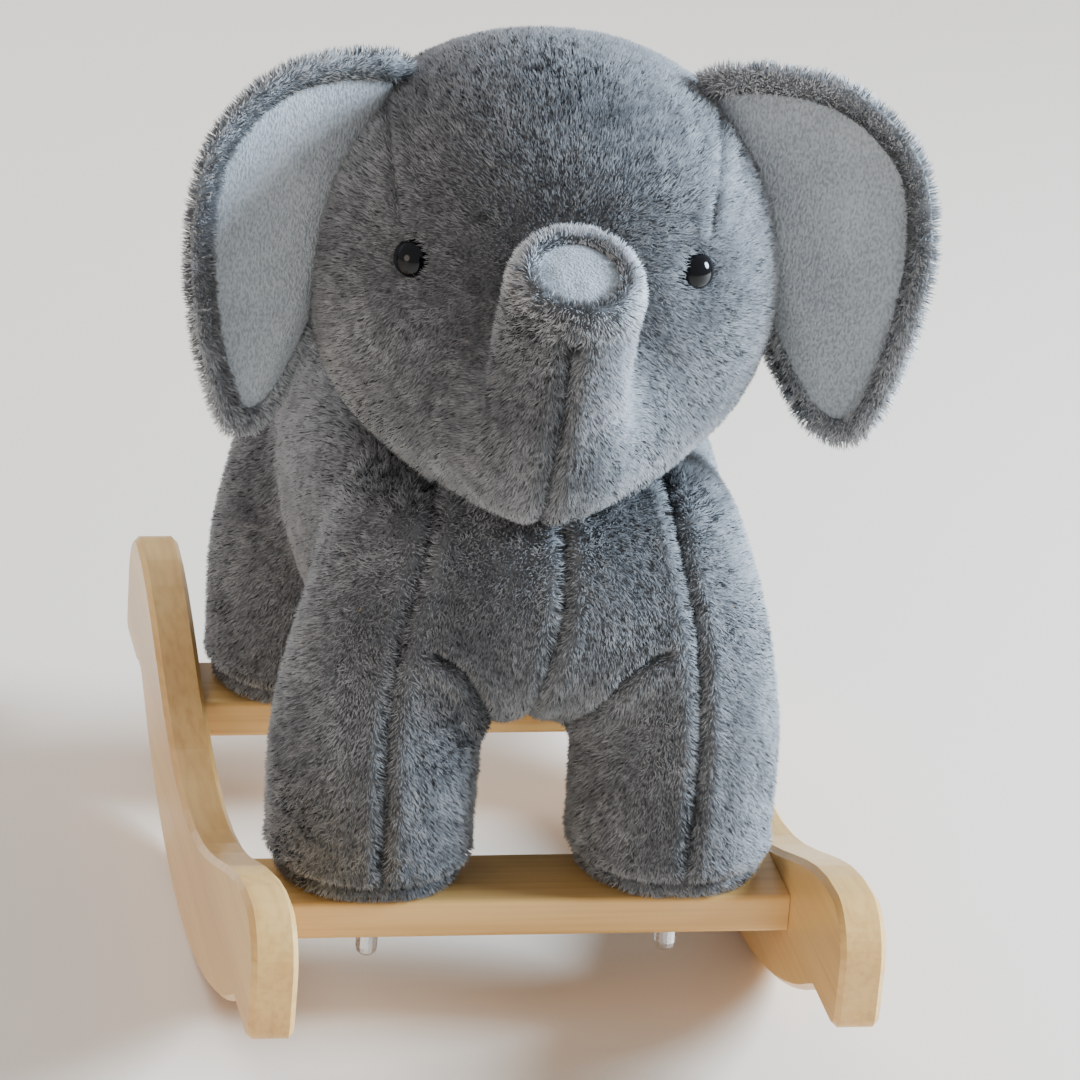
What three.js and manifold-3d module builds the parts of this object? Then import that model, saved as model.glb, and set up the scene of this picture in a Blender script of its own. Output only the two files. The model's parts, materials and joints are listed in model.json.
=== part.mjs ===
// A plush elephant rocking toy: a stuffed elephant on a timber inner frame, bolted down
// through two cross slats that join two curved wooden rockers.
// Millimetres, +Z up. The elephant faces -Y. The origin is on the floor, midway between
// the rocker tips, where the level runners touch.

import * as THREE from 'three';
import { mergeVertices } from 'three/addons/utils/BufferGeometryUtils.js';
import Module from 'manifold-3d';

const wasm = await Module();
wasm.setup();

// ---- Driving dimensions ----

const gap = 0.3;                 // clearance between pieces that touch

const rockerInside = 292;        // clear width between the two rockers
const boardThickness = 25;
const rockerHalfLength = 278;
const runnerRadius = 420;
const runnerMiddle = -12;        // the round part's lowest point is under the toy's weight
const runnerReach = 195;         // half the length of the round part of the runner
const runnerFlat = 16;           // half the length of the flat at the runner's lowest point
const waistHeight = 65;          // top edge of the rocker at its middle
const tipHeight = 125;           // top edge of the rocker near its tips
const toeBottom = 56;
const toeStart = 222;            // where the toe's flat underside starts
const toeCorner = 14;
const noseStart = 94;            // where the rounding of the tip starts, going up
const nose = 246;                // where it ends on the top edge
const curveSteps = 9;
const edgeRound = 3;

const slatDepth = 60;
const slatThickness = 22;
const slatTop = 80;
const frontSlatY = -126;
const rearSlatY = 140;
const dowelRadius = 5;
const dowelLength = 36;
const dowelInSlat = 20;
const dowelOffset = 15;          // each side of the middle of the slat

const legX = 84;                 // middle of each leg, from the middle of the toy
const legRadius = 56;
const soleRound = 12;
const postSize = 38;
const seatBoardTop = 250;
const seatBoardThickness = 12;
const screwLength = 44;
const screwRadius = 2.2;
const screwHeadRadius = 5;
const boltRadius = 4;
const boltInPost = 40;
const boltInNut = 8;
const washerRadius = 9;
const washerThickness = 1.6;
const nutHeight = 22;            // a long domed nut: a hexagon above a round-ended cap
const nutHexagonHeight = 6;
const nutRadius = 6.8;
const capRadius = 6.1;

const torsoCentre = new THREE.Vector3(0, 20, 252);
const torsoHalf = new THREE.Vector3(118, 194, 98);
const torsoSquareness = 2.6;      // exponent of the rounded body: 2 is an ellipsoid

const headCentre = new THREE.Vector3(0, -60, 417);
const headHalf = new THREE.Vector3(129, 120, 126);
const headSquareness = 2.15;
const headTurn = THREE.MathUtils.degToRad(-7);   // the face looks a little to one side
const eyeAzimuth = THREE.MathUtils.degToRad(40);
const eyeElevation = THREE.MathUtils.degToRad(15);
const eyeRadius = 10;
const eyeSeat = 120;             // from the head's middle to the back of the eye's dome
const stemRadius = 2.2;
const stemLength = 16;
const eyeWasherRadius = 9;
const eyeWasherThickness = 1.6;
const eyeWasherDepth = 8;        // below the dome's back
const trunkRootRadius = 66;
const trunkTipRadius = 38;
const tipDiscRadius = 22;
const tipDiscDepth = 5;

const wood = { color: 0xdcbf94, roughness: 0.45, metalness: 0 };
const plywood = { color: 0xc9a877, roughness: 0.7, metalness: 0 };
const fur = { color: 0x74777c, roughness: 1, metalness: 0 };
const velour = { color: 0xa9b0b6, roughness: 0.95, metalness: 0 };
const zinc = { color: 0xc4c7ca, roughness: 0.3, metalness: 1 };
const blackPlastic = { color: 0x0a0a0b, roughness: 0.12, metalness: 0 };
const greyPlastic = { color: 0xd8d8d4, roughness: 0.5, metalness: 0 };

const elephant = new THREE.Group();

// ---- Joining and cutting ----

// A geometry, in the place that a matrix gives it, as a solid that can be joined and cut.
function solid(geometry, matrix = new THREE.Matrix4()) {
  const bare = geometry.clone().applyMatrix4(matrix);
  for (const name of Object.keys(bare.attributes)) {
    if (name !== 'position') bare.deleteAttribute(name);
  }
  const merged = mergeVertices(bare, 1e-4);
  return new wasm.Manifold(new wasm.Mesh({
    numProp: 3,
    vertProperties: new Float32Array(merged.attributes.position.array),
    triVerts: new Uint32Array(merged.index.array),
  }));
}

function geometryOf(manifold) {
  const mesh = manifold.getMesh();
  const geometry = new THREE.BufferGeometry();
  geometry.setAttribute('position', new THREE.BufferAttribute(mesh.vertProperties, 3));
  geometry.setIndex(new THREE.BufferAttribute(mesh.triVerts, 1));
  geometry.computeVertexNormals();
  return geometry;
}

const move = (x, y, z) => new THREE.Matrix4().makeTranslation(x, y, z);

// Adds one named piece to the toy.
function piece(name, shape, look) {
  const geometry = shape.isBufferGeometry ? shape : geometryOf(shape);
  const mesh = new THREE.Mesh(geometry, new THREE.MeshStandardMaterial(look));
  mesh.name = name;
  elephant.add(mesh);
}

// ---- Simple solids ----

function box(width, depth, height, x, y, z) {
  return solid(new THREE.BoxGeometry(width, depth, height), move(x, y, z));
}

// A cylinder along X, Y or Z, from its middle.
function rod(radius, length, axis, x, y, z, sides = 12) {
  const geometry = new THREE.CylinderGeometry(radius, radius, length, sides);
  if (axis === 'x') geometry.rotateZ(Math.PI / 2);
  if (axis === 'z') geometry.rotateX(Math.PI / 2);
  return solid(geometry, move(x, y, z));
}

// A lathed solid that stands on +Z. The profile is a list of [radius, height].
function turned(profile, segments, x, y, z) {
  const points = profile.map(([r, h]) => new THREE.Vector2(r, h));
  const geometry = new THREE.LatheGeometry(points, segments);
  geometry.rotateX(Math.PI / 2);
  return solid(geometry, move(x, y, z));
}

// A stuffed shape: an ellipsoid made boxier by an exponent above 2.
function stuffed(centre, half, exponent, across, up) {
  const geometry = new THREE.SphereGeometry(1, across, up);
  geometry.rotateX(Math.PI / 2);
  const position = geometry.attributes.position;
  const point = new THREE.Vector3();
  for (let i = 0; i < position.count; i += 1) {
    point.fromBufferAttribute(position, i);
    const length = (Math.abs(point.x) ** exponent + Math.abs(point.y) ** exponent
      + Math.abs(point.z) ** exponent) ** (1 / exponent);
    point.divideScalar(length).multiply(half).add(centre);
    position.setXYZ(i, point.x, point.y, point.z);
  }
  return solid(geometry);
}

// A stuffed tube along a curve that runs near the Y-Z plane. Its radius changes along it.
function bentTube(curve, radiusAt, sides, steps) {
  const geometry = new THREE.CylinderGeometry(1, 1, 1, sides, steps);
  const position = geometry.attributes.position;
  const acrossX = new THREE.Vector3(1, 0, 0);
  for (let i = 0; i < position.count; i += 1) {
    const t = 0.5 - position.getY(i);
    const tangent = curve.getTangent(t);
    const up = new THREE.Vector3().crossVectors(tangent, acrossX).normalize();
    const radius = radiusAt(t);
    const point = curve.getPoint(t)
      .addScaledVector(acrossX, position.getX(i) * radius)
      .addScaledVector(up, position.getZ(i) * radius);
    position.setXYZ(i, point.x, point.y, point.z);
  }
  return solid(geometry);
}

// ---- Wooden base ----

// The end of a rocker, as points (Y, Z): from where the round runner stops, round the
// squared-off toe and the nose, to the middle of the top edge.
function rockerEnd(runnerEndHeight) {
  const end = rockerHalfLength;
  const path = new THREE.Path();
  path.moveTo(runnerReach, runnerEndHeight);
  path.quadraticCurveTo(runnerReach + 12, runnerEndHeight + 7, toeStart, toeBottom);
  path.lineTo(end - toeCorner, toeBottom);
  path.quadraticCurveTo(end - 3, toeBottom, end - 2, toeBottom + 10);
  path.lineTo(end, noseStart);
  path.bezierCurveTo(end, noseStart + 18, nose + 18, tipHeight, nose, tipHeight);
  path.bezierCurveTo(170, tipHeight, 100, waistHeight, 0, waistHeight);
  return path.getPoints(curveSteps);
}

// The side outline of a rocker, as (Y, Z): a round runner with a short flat at its lowest
// point, and two like ends that meet where the top edge dips to its waist.
function rockerOutline() {
  const flatAngle = Math.asin(runnerFlat / runnerRadius);
  const centreHeight = runnerRadius * Math.cos(flatAngle);
  const foreAngle = Math.asin((runnerReach + runnerMiddle) / runnerRadius);
  const aftAngle = Math.asin((runnerReach - runnerMiddle) / runnerRadius);
  const heightAt = angle => centreHeight - runnerRadius * Math.cos(angle);
  const arc = (from, to) => new THREE.EllipseCurve(runnerMiddle, centreHeight,
    runnerRadius, runnerRadius, from - Math.PI / 2, to - Math.PI / 2).getPoints(curveSteps);
  const aft = rockerEnd(heightAt(aftAngle)).slice(1);
  const fore = rockerEnd(heightAt(foreAngle)).slice(1, -1)
    .map(point => new THREE.Vector2(-point.x, point.y)).reverse();
  return new THREE.Shape([...arc(-foreAngle, -flatAngle), ...arc(flatAngle, aftAngle),
    ...aft, ...fore]);
}

function dowelHoles(slatY, side) {
  const middle = slatTop - slatThickness / 2;
  const x = side * (rockerInside / 2 - dowelInSlat + dowelLength / 2);
  return [-dowelOffset, dowelOffset].map(offset =>
    rod(dowelRadius + gap, dowelLength + 2 * gap, 'x', x, slatY + offset, middle));
}

function addRocker(name, side) {
  const board = new THREE.ExtrudeGeometry(rockerOutline(), {
    depth: boardThickness - 2 * edgeRound,
    bevelThickness: edgeRound,
    bevelSize: edgeRound,
    bevelOffset: -edgeRound,
    bevelSegments: 1,
  });
  board.applyMatrix4(new THREE.Matrix4().makeBasis(
    new THREE.Vector3(0, 1, 0), new THREE.Vector3(0, 0, 1), new THREE.Vector3(1, 0, 0)));
  const inside = side > 0 ? rockerInside / 2 : -rockerInside / 2 - boardThickness;
  let rocker = solid(board, move(inside + edgeRound, 0, 0));
  for (const slatY of [frontSlatY, rearSlatY]) {
    for (const hole of dowelHoles(slatY, side)) rocker = rocker.subtract(hole);
  }
  piece(name, rocker, wood);
}

function addSlat(name, slatY) {
  const halfDepth = slatDepth / 2 - edgeRound;
  const halfThickness = slatThickness / 2 - edgeRound;
  const section = new THREE.Shape();
  section.absarc(halfThickness, halfDepth, edgeRound, 0, Math.PI / 2, false);
  section.absarc(-halfThickness, halfDepth, edgeRound, Math.PI / 2, Math.PI, false);
  section.absarc(-halfThickness, -halfDepth, edgeRound, Math.PI, 1.5 * Math.PI, false);
  section.absarc(halfThickness, -halfDepth, edgeRound, 1.5 * Math.PI, 2 * Math.PI, false);
  const length = rockerInside - 2 * gap;
  const bar = new THREE.ExtrudeGeometry(section, {
    depth: length, bevelEnabled: false, curveSegments: 4,
  });
  bar.rotateY(Math.PI / 2);
  let slat = solid(bar, move(-length / 2, slatY, slatTop - slatThickness / 2));
  for (const side of [-1, 1]) {
    for (const hole of dowelHoles(slatY, side)) slat = slat.subtract(hole);
    slat = slat.subtract(rod(boltRadius + gap, slatThickness + 4, 'z',
      side * legX, slatY, slatTop - slatThickness / 2));
  }
  piece(name, slat, wood);
}

function addDowels(label, slatY, side) {
  const middle = slatTop - slatThickness / 2;
  const x = side * (rockerInside / 2 - dowelInSlat + dowelLength / 2);
  for (const [place, offset] of [['fore', -dowelOffset], ['aft', dowelOffset]]) {
    piece(`dowel_${label}_${place}`,
      rod(dowelRadius, dowelLength, 'x', x, slatY + offset, middle), plywood);
  }
}

// ---- Inner frame and its bolts ----

const boardUnderside = seatBoardTop - seatBoardThickness;
const postBottom = slatTop + gap;
const postTop = boardUnderside - gap;

function postSolid(x, y, grow) {
  const height = postTop - postBottom + 2 * grow;
  return box(postSize + 2 * grow, postSize + 2 * grow, height, x, y, (postTop + postBottom) / 2);
}

function seatBoardSolid(grow) {
  const width = 2 * legX + postSize + 2 * grow;
  const front = frontSlatY - postSize / 2 - grow;
  const back = rearSlatY + postSize / 2 + grow;
  return box(width, back - front, seatBoardThickness + 2 * grow,
    0, (front + back) / 2, seatBoardTop - seatBoardThickness / 2);
}

// A countersunk screw, head flush with the top of the seat board. Grown, it is its own hole.
function seatScrew(x, y, grow) {
  const top = grow > 0 ? 1 : -gap;
  return turned([[0, -screwLength - grow], [0.8 * screwRadius + grow, 4 - screwLength - grow],
    [screwRadius + grow, -5], [screwHeadRadius + grow, -1], [screwHeadRadius + grow, top],
    [0, top]], 12, x, y, seatBoardTop);
}

function addPost(label, x, y) {
  const boltHole = rod(boltRadius + gap, 2 * (boltInPost + 1), 'z', x, y, postBottom);
  piece(`leg_post_${label}`,
    postSolid(x, y, 0).subtract(boltHole).subtract(seatScrew(x, y, gap)), plywood);
  piece(`seat_screw_${label}`, seatScrew(x, y, 0), zinc);
}

function addSeatBoard(corners) {
  let board = seatBoardSolid(0);
  for (const [x, y] of corners) board = board.subtract(seatScrew(x, y, gap));
  piece('seat_board', board, plywood);
}

// The bolt runs from inside the post, through the slat, to a domed nut below it.
function addBolt(label, x, y) {
  const slatUnderside = slatTop - slatThickness;
  const washerMiddle = slatUnderside - gap - washerThickness / 2;
  const nutTop = slatUnderside - 2 * gap - washerThickness;
  const boltBottom = nutTop - boltInNut;
  const boltTop = postBottom + boltInPost;
  piece(`bolt_${label}`, rod(boltRadius, boltTop - boltBottom, 'z',
    x, y, (boltTop + boltBottom) / 2), zinc);
  piece(`washer_${label}`, rod(washerRadius, washerThickness, 'z', x, y, washerMiddle, 20)
    .subtract(rod(boltRadius + gap, 10, 'z', x, y, washerMiddle)), zinc);
  const cap = turned([[0, -nutHeight], [0.55 * capRadius, 0.8 - nutHeight],
    [0.9 * capRadius, 3 - nutHeight], [capRadius, 6 - nutHeight], [capRadius, -1],
    [0, -1]], 16, x, y, nutTop);
  const hexagon = rod(nutRadius, nutHexagonHeight, 'z', x, y, nutTop - nutHexagonHeight / 2, 6);
  const hole = rod(boltRadius + gap, 2 * (boltInNut + gap), 'z', x, y, nutTop);
  piece(`dome_nut_${label}`, hexagon.add(cap).subtract(hole), zinc);
}

// ---- Plush body ----

// A leg from its rounded sole to where it is lost in the torso.
function legSolid(x, y) {
  const profile = [[0, 0], [legRadius - soleRound, 0]];
  for (const turn of [1, 2, 3]) {
    const angle = turn * Math.PI / 6;
    profile.push([legRadius - soleRound + soleRound * Math.sin(angle),
      soleRound - soleRound * Math.cos(angle)]);
  }
  profile.push([legRadius + 1, 90], [legRadius + 1, 150], [legRadius - 8, 188],
    [legRadius - 26, 210], [0, 220]);
  return turned(profile, 20, x, y, slatTop + gap);
}

const headPlace = new THREE.Matrix4()
  .makeTranslation(headCentre.x, headCentre.y, headCentre.z)
  .multiply(new THREE.Matrix4().makeRotationZ(headTurn));

const placed = manifold => manifold.transform([...headPlace.elements]);

function headShell(grow) {
  return stuffed(new THREE.Vector3(), headHalf.clone().addScalar(grow), headSquareness, 30, 16);
}

const trunkPath = new THREE.CatmullRomCurve3([
  new THREE.Vector3(0, -66, -58),
  new THREE.Vector3(0, -118, -50),
  new THREE.Vector3(1, -150, -18),
  new THREE.Vector3(3, -166, 27),
  new THREE.Vector3(6, -184, 63),
]);

function trunkRadius(t) {
  return THREE.MathUtils.lerp(trunkRootRadius, trunkTipRadius, Math.min(1, 1.9 * t) ** 0.8);
}

// The stuffed trunk, still running on into the head, where headShell cuts it off.
function trunkTube(grow) {
  return bentTube(trunkPath, t => trunkRadius(t) + grow, 24, 10);
}

// One cover and its stuffing round the inner frame, open under each foot where a post stands.
function addBody(corners) {
  let body = stuffed(torsoCentre, torsoHalf, torsoSquareness, 30, 16);
  for (const { x, foot } of corners) body = body.add(legSolid(x, foot));
  for (const { x, y } of corners) {
    const footHole = box(postSize + 2 * gap, postSize + 2 * gap, 20, x, y, slatTop);
    body = body.subtract(postSolid(x, y, gap)).subtract(footHole);
  }
  body = body.subtract(seatBoardSolid(gap)).subtract(placed(headShell(gap)))
    .subtract(placed(trunkTube(gap)));
  piece('body_plush', body, fur);
}

// ---- Head: made in the head's own frame, round its middle, then placed ----

// A short cylinder about the end of the trunk, from a depth inside it to a height above.
function trunkTipPlug(radius, depth, height) {
  const end = trunkPath.getPoint(1);
  const axis = trunkPath.getTangent(1);
  const geometry = new THREE.CylinderGeometry(radius, radius, depth + height, 24);
  geometry.translate(0, (height - depth) / 2, 0);
  const turn = new THREE.Quaternion().setFromUnitVectors(new THREE.Vector3(0, 1, 0), axis);
  return solid(geometry, new THREE.Matrix4().compose(end, turn, new THREE.Vector3(1, 1, 1)));
}

function eyeDirection(side) {
  return new THREE.Vector3(
    side * Math.sin(eyeAzimuth) * Math.cos(eyeElevation),
    -Math.cos(eyeAzimuth) * Math.cos(eyeElevation),
    Math.sin(eyeElevation));
}

// A solid of revolution about the eye's axis. The profile is [radius, distance from the
// head's middle], outermost last.
function aboutEye(side, profile) {
  const points = profile.map(([r, h]) => new THREE.Vector2(r, h));
  const geometry = new THREE.LatheGeometry(points, 16);
  const turn = new THREE.Quaternion().setFromUnitVectors(new THREE.Vector3(0, 1, 0),
    eyeDirection(side));
  return solid(geometry, new THREE.Matrix4().makeRotationFromQuaternion(turn));
}

function eyeProfile() {
  const profile = [[0, eyeSeat - stemLength], [stemRadius, eyeSeat - stemLength],
    [stemRadius, eyeSeat], [eyeRadius, eyeSeat]];
  for (const turn of [1, 2, 3]) {
    const angle = turn * Math.PI / 8;
    profile.push([eyeRadius * Math.cos(angle), eyeSeat + 2 + 6 * Math.sin(angle)]);
  }
  profile.push([0, eyeSeat + 8]);
  return profile;
}

// The room that an eye, its stem and its washer need in the stuffing, open to the outside.
function eyePocket(side) {
  const washerTop = eyeSeat - eyeWasherDepth + 2 * gap;
  const washerBottom = washerTop - eyeWasherThickness - 5 * gap;
  return aboutEye(side, [[0, eyeSeat - stemLength - 1], [stemRadius + gap, eyeSeat - stemLength - 1],
    [stemRadius + gap, washerBottom], [eyeWasherRadius + gap, washerBottom],
    [eyeWasherRadius + gap, washerTop], [stemRadius + gap, washerTop],
    [stemRadius + gap, eyeSeat - gap], [eyeRadius + gap, eyeSeat - gap],
    [eyeRadius + 4, eyeSeat + 20], [0, eyeSeat + 20]]);
}

function addEye(label, side) {
  piece(`eye_${label}`, placed(aboutEye(side, eyeProfile())), blackPlastic);
  const top = eyeSeat - eyeWasherDepth;
  const bottom = top - eyeWasherThickness;
  piece(`eye_washer_${label}`, placed(aboutEye(side, [
    [stemRadius + gap, bottom], [eyeWasherRadius, bottom], [eyeWasherRadius, top],
    [stemRadius + gap, top], [stemRadius + gap, bottom]])), greyPlastic);
}

function addHead() {
  let skull = headShell(0);
  for (const side of [-1, 1]) skull = skull.subtract(eyePocket(side));
  piece('head_plush', placed(skull), fur);
  const trunk = trunkTube(0).subtract(headShell(gap))
    .subtract(trunkTipPlug(tipDiscRadius + gap, tipDiscDepth + gap, 10));
  piece('trunk_plush', placed(trunk), fur);
  piece('trunk_tip_disc', placed(trunkTipPlug(tipDiscRadius, tipDiscDepth, -1)), velour);
}

// ---- Ears ----

// The ear's outline in its own plane: [outward from the sewn edge, up from the head's middle].
const earOutline = new THREE.CatmullRomCurve3([
  [0, 106], [32, 121], [84, 116], [126, 84], [139, 36], [134, -14],
  [121, -58], [104, -88], [76, -84], [50, -50], [24, 0], [4, 54],
].map(([out, up]) => new THREE.Vector3(out, up, 0)), true, 'centripetal');
const earMiddle = new THREE.Vector2(68, 20);
const earSweep = THREE.MathUtils.degToRad(19);    // both ears swing forward of the toy's sides
const earThickness = 15;
const earFoldOut = 64;           // how far out the ear's fold is, at the height of the head's middle
const earFoldSlant = 0.39;       // and how much nearer the head it comes with each unit of height
const earRoot = new THREE.Vector3(76, 4, 0);
const earClearance = 8;          // between an ear's sewn edge and the side of the head

// How far forward of its plane the ear lies: its outer edge curls forward, and the part between
// the slanting fold and the head turns back.
function earCup(out, up) {
  const outer = Math.max(0, out - earMiddle.x);
  const inner = Math.max(0, earFoldOut - earFoldSlant * up - out);
  return 0.0022 * outer ** 2 - 0.019 * inner ** 2;
}

// A stuffed flat shape of the ear's outline, drawn in by an inset, between two heights.
function earPad(side, inset, back, front) {
  const geometry = new THREE.SphereGeometry(1, 28, 8);
  const position = geometry.attributes.position;
  for (let i = 0; i < position.count; i += 1) {
    const around = Math.atan2(position.getZ(i), position.getX(i)) / (2 * Math.PI);
    const edge = earOutline.getPoint((around + 1) % 1);
    const fromMiddle = new THREE.Vector2(edge.x, edge.y).sub(earMiddle);
    const reach = Math.hypot(position.getX(i), position.getZ(i));
    fromMiddle.multiplyScalar(reach * (1 - inset / fromMiddle.length()));
    const high = Math.sign(position.getY(i)) * Math.sqrt(Math.abs(position.getY(i)));
    const out = earMiddle.x + fromMiddle.x;
    const up = earMiddle.y + fromMiddle.y;
    const depth = THREE.MathUtils.lerp(back, front, (high + 1) / 2);
    position.setXYZ(i, side * out, -depth - earCup(out, up), up);
  }
  if (side < 0) geometry.index.array.reverse();
  const place = new THREE.Matrix4()
    .makeTranslation(side * earRoot.x, earRoot.y, earRoot.z)
    .multiply(new THREE.Matrix4().makeRotationZ(-side * earSweep - headTurn));
  return solid(geometry, place);
}

function addEar(label, side) {
  const panelInset = 15;
  const panelBack = earThickness - 5.5;
  const panelFront = earThickness - 0.5;
  const panel = earPad(side, panelInset, panelBack, panelFront);
  let back = earPad(side, 0, 0, earThickness);
  for (const rise of [0, 3, 6]) {
    back = back.subtract(
      earPad(side, panelInset - 2 * gap, panelBack - 2 * gap + rise, panelFront + 2 * gap + rise));
  }
  const clear = headShell(earClearance);
  piece(`ear_back_${label}`, placed(back.subtract(clear)), fur);
  piece(`ear_panel_${label}`, placed(panel.subtract(clear)), velour);
}

// ---- Tail ----

function addTail() {
  const path = new THREE.CatmullRomCurve3([
    new THREE.Vector3(0, 222, 268),
    new THREE.Vector3(0, 232, 236),
    new THREE.Vector3(0, 236, 200),
    new THREE.Vector3(0, 238, 160),
  ]);
  const radiusAt = t => (t < 0.7 ? 8 : 8 + 7 * Math.sin((t - 0.7) / 0.3 * Math.PI));
  piece('tail_plush', bentTube(path, radiusAt, 12, 10), fur);
}

// ---- The whole toy ----

const feet = { front: frontSlatY + 16, rear: rearSlatY + 8 };
const corners = [];
for (const [row, y] of [['front', frontSlatY], ['rear', rearSlatY]]) {
  for (const [hand, side] of [['left', -1], ['right', 1]]) {
    corners.push({ label: `${row}_${hand}`, x: side * legX, y, foot: feet[row], side });
  }
}

addRocker('rocker_left', -1);
addRocker('rocker_right', 1);
addSlat('slat_front', frontSlatY);
addSlat('slat_rear', rearSlatY);
for (const { label, x, y, side } of corners) {
  addDowels(label, y, side);
  addPost(label, x, y);
  addBolt(label, x, y);
}
addSeatBoard(corners.map(({ x, y }) => [x, y]));
addBody(corners);
addHead();
addEye('left', -1);
addEye('right', 1);
addEar('left', -1);
addEar('right', 1);
addTail();

export default elephant;
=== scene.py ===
# A plush elephant standing on two slats between two wooden rockers.
# Everything is in metres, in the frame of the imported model: the elephant faces -Y, +Z is up.
import json
import math

import bmesh
import bpy
import numpy as np
from mathutils import Matrix, Vector


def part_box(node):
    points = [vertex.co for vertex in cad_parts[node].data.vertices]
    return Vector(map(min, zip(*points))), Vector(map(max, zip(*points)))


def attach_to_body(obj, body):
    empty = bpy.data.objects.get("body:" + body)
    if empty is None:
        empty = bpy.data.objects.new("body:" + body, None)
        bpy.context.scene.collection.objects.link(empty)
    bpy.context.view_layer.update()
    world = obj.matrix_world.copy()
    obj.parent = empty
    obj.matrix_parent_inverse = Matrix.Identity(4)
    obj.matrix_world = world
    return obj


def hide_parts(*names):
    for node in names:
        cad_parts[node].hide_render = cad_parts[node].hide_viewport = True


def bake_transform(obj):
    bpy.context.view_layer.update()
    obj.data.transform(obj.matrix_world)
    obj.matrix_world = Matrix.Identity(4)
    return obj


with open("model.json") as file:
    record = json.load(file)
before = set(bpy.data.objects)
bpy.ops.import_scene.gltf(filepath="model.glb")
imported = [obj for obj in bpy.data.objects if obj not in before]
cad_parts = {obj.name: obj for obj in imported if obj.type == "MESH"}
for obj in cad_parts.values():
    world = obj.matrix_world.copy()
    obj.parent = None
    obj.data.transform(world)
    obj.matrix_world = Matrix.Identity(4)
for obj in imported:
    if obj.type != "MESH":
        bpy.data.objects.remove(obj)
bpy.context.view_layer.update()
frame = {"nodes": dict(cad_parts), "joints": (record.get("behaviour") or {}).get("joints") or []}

MM = 0.001

# ---- Driving dimensions ----

PILE = 4.5 * MM                # how deep the pile stands on the cover
COVER_VOXEL = 5 * MM           # the mesh size of the body's and the head's cover
CLOTH_STEPS = 20
COVER_PRESSURE = 3.0
TAIL_VOXEL = 3 * MM
TORSO_HALF = np.array([118, 194, 98]) * MM
TORSO_EXPONENT = 2.6
LEG_RADIUS = 57 * MM
SOLE_ROUND = 14 * MM
LEG_TAPER_START = 70 * MM      # above the sole
LEG_FULL_HEIGHT = 120 * MM
LEG_LEAN = 0.7                 # inward, as a share of what the leg narrows
FOOT_BEHIND_POST = {"front": 16 * MM, "rear": 8 * MM}
HEAD_TURN = math.radians(-7)
HEAD_EXPONENT = 2.15
TRUNK_POINTS = np.array([      # in the head's frame, from inside the face to the tip
    [0, -66, -58], [0, -118, -50], [1, -150, -18], [3, -166, 27], [6, -184, 63]]) * MM
TRUNK_ROOT_RADIUS = 66 * MM
TRUNK_TIP_RADIUS = 38 * MM
TRUNK_TIP_ROUND = 13 * MM
TIP_DISC_RADIUS = 22 * MM
HEAD_TRUNK_BLEND = 34 * MM
BODY_LEG_BLEND = 30 * MM
EYE_RADIUS = 10.4 * MM
EYE_DOME_HEIGHT = 9 * MM
EYE_RAISED = 1.5 * MM          # how far the dome stands past its CAD solid
HAIR_LENGTH = 5 * MM
HAIR_WIDTH = 0.6 * MM
HAIR_SPACING = 1.02 * MM
HAIR_ROOT = 0.4 * MM           # how deep a hair starts in its cover
HAIRS_PER_PIECE = 60000        # the most hairs in one piece of pile; a piece with many more faces than this is thinned on export


# ---- Camera, floor and light ----

def add_camera():
    """Looks a little down on the elephant, from its right, with the camera tipped sideways."""
    lens, distance = 216.7, 3.644
    azimuth, elevation, roll = (math.radians(a) for a in (-11.6, 22.5, 4.16))
    aim = Vector((0.0228, 0, 0.2279))
    back = Vector((math.sin(azimuth) * math.cos(elevation),
                   -math.cos(azimuth) * math.cos(elevation), math.sin(elevation)))
    data = bpy.data.cameras.new("camera")
    data.lens = lens
    data.sensor_width = 36
    camera = bpy.data.objects.new("camera", data)
    turn = (-back).to_track_quat("-Z", "Y").to_matrix().to_4x4()
    camera.matrix_world = Matrix.Translation(aim + back * distance) @ turn @ Matrix.Rotation(roll, 4, "Z")
    bpy.context.scene.collection.objects.link(camera)
    bpy.context.scene.camera = camera


def add_area_light(name, place, size, power, colour):
    """A round soft light that faces the middle of the toy."""
    data = bpy.data.lights.new(name, "AREA")
    data.shape = "DISK"
    data.size = size
    data.energy = power
    data.color = colour
    lamp = bpy.data.objects.new(name, data)
    lamp.location = place
    toy_middle = Vector((0, 0, 0.25))
    lamp.rotation_euler = (toy_middle - Vector(place)).to_track_quat("-Z", "Y").to_euler()
    bpy.context.scene.collection.objects.link(lamp)


def add_stage():
    """A pale floor, the daylight of the room, a window on the +X side and two weak fills."""
    half = 20
    corners = [(-half, -half, 0), (half, -half, 0), (half, half, 0), (-half, half, 0)]
    mesh = bpy.data.meshes.new("floor")
    mesh.from_pydata(corners, [], [(0, 1, 2, 3)])
    floor = bpy.data.objects.new("floor", mesh)
    bpy.context.scene.collection.objects.link(floor)
    material = new_material("pale_floor", (0.87, 0.765, 0.65), 0.6)[0]
    mesh.materials.append(material)
    world = bpy.data.worlds.new("daylight")
    world.use_nodes = True
    background = world.node_tree.nodes["Background"]
    background.inputs["Color"].default_value = (0.90, 0.92, 0.96, 1)
    background.inputs["Strength"].default_value = 0.56
    bpy.context.scene.world = world
    add_area_light("window_light", (2.4, -0.35, 1.4), 1.1, 290, (0.67, 0.83, 1.0))
    add_area_light("room_fill", (-2.2, -1.6, 0.9), 1.4, 17, (1.0, 0.85, 0.70))
    add_area_light("back_fill", (-1.0, 2.4, 2.0), 1.6, 50, (0.97, 0.98, 1.0))


# ---- Materials ----

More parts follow.
